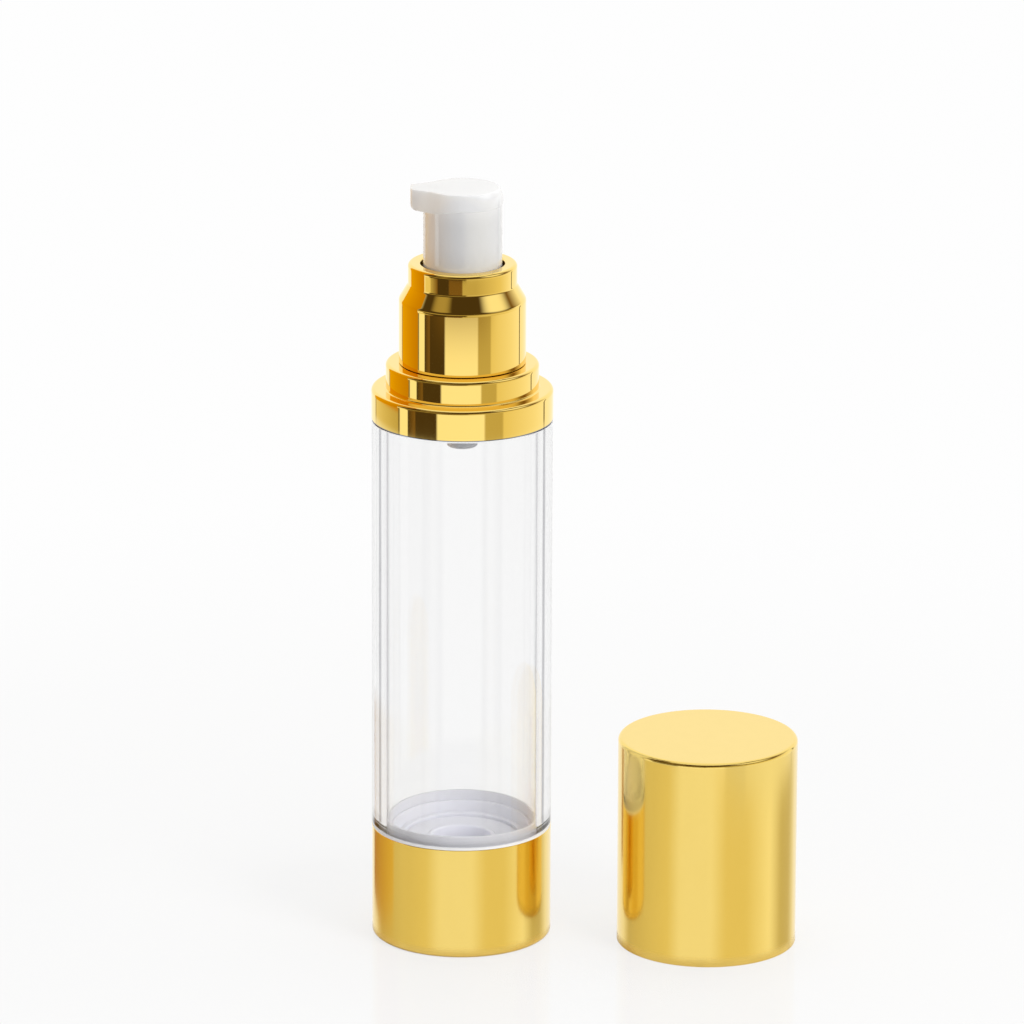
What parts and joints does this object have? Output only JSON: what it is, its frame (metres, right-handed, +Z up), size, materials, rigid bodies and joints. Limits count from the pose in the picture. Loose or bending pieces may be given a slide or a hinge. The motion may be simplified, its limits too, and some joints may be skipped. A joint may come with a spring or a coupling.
{
  "type": "airless pump bottle",
  "caption": "Clear airless bottle with gold base, stepped gold shoulder, screw-on pump with white beak head, rising follower piston and a gold cap standing beside it.",
  "frame": {"origin": "centre of the base's underside, on the surface that the bottle stands on", "axes": "+Z up along the bottle's axis, nozzle towards -X, the loose cap on the +X side"},
  "size_m": [0.0807, 0.0386, 0.1462],
  "materials": {
    "satin_gold": "satin gold anodised",
    "bright_gold_sleeve": "mirror gold anodised",
    "bright_gold_ring": "metallised mirror gold",
    "clear_plastic": "clear polished",
    "milky_plastic": "milky translucent",
    "white_moulding": "satin white",
    "gloss_white": "gloss white",
    "natural_plastic": "natural, as moulded",
    "soft_seal": "soft",
    "steel": "bright drawn"
  },
  "bodies": {
    "bottle": {"base_shell": "satin_gold", "base_insert": "white_moulding", "bottle_tube": "clear_plastic", "shoulder_ring": "bright_gold_ring"},
    "follower": {"follower_piston": "milky_plastic"},
    "pump": {"pump_housing": "natural_plastic", "neck_gasket": "soft_seal", "chaplet": "natural_plastic", "stem_seal": "soft_seal", "return_spring": "steel"},
    "closure": {"screw_closure": "white_moulding", "collar_sleeve": "bright_gold_sleeve"},
    "stem": {"stem": "natural_plastic", "poppet": "natural_plastic"},
    "dosing_piston": {"dosing_piston": "milky_plastic"},
    "inlet_ball": {"inlet_ball": "steel"},
    "head": {"actuator": "gloss_white"},
    "cap": {"cap_shell": "satin_gold", "cap_liner": "white_moulding"}
  },
  "joints": [
    {"name": "follower_rise", "type": "slide", "parent": "bottle", "child": "follower", "axis": [0, 0, 1], "range_m": [0, 0.0772]},
    {"name": "pump_lift", "type": "slide", "parent": "bottle", "child": "pump", "axis": [0, 0, 1], "range_m": [0, 0.0046]},
    {"name": "closure_turn", "type": "hinge", "parent": "pump", "child": "closure", "pos_m": [0, 0, 0.118], "axis": [0, 0, 1], "range_deg": [0, 540]},
    {"name": "actuator_press", "type": "slide", "parent": "pump", "child": "stem", "axis": [0, 0, -1], "range_m": [0, 0.0045], "stiffness_N_per_m": 2000, "springref_m": -0.004, "deforming": ["return_spring"]},
    {"name": "dosing_follow", "type": "slide", "parent": "pump", "child": "dosing_piston", "axis": [0, 0, -1], "range_m": [0, 0.004]},
    {"name": "actuator_turn", "type": "hinge", "parent": "stem", "child": "head", "pos_m": [0, 0, 0.138], "axis": [0, 0, 1], "continuous": true},
    {"name": "inlet_ball_lift", "type": "slide", "parent": "pump", "child": "inlet_ball", "axis": [0, 0, 1], "range_m": [0, 0.0008]},
    {"name": "cap_lift", "type": "slide", "parent": "bottle", "child": "cap", "axis": [0, 0, 1], "range_m": [0, 0.15]}
  ],
  "couplings": [
    {"joint": "pump_lift", "follows": "closure_turn", "m_per_rad": 0.00047746},
    {"joint": "dosing_follow", "follows": "actuator_press", "ratio": 0.86667}
  ]
}
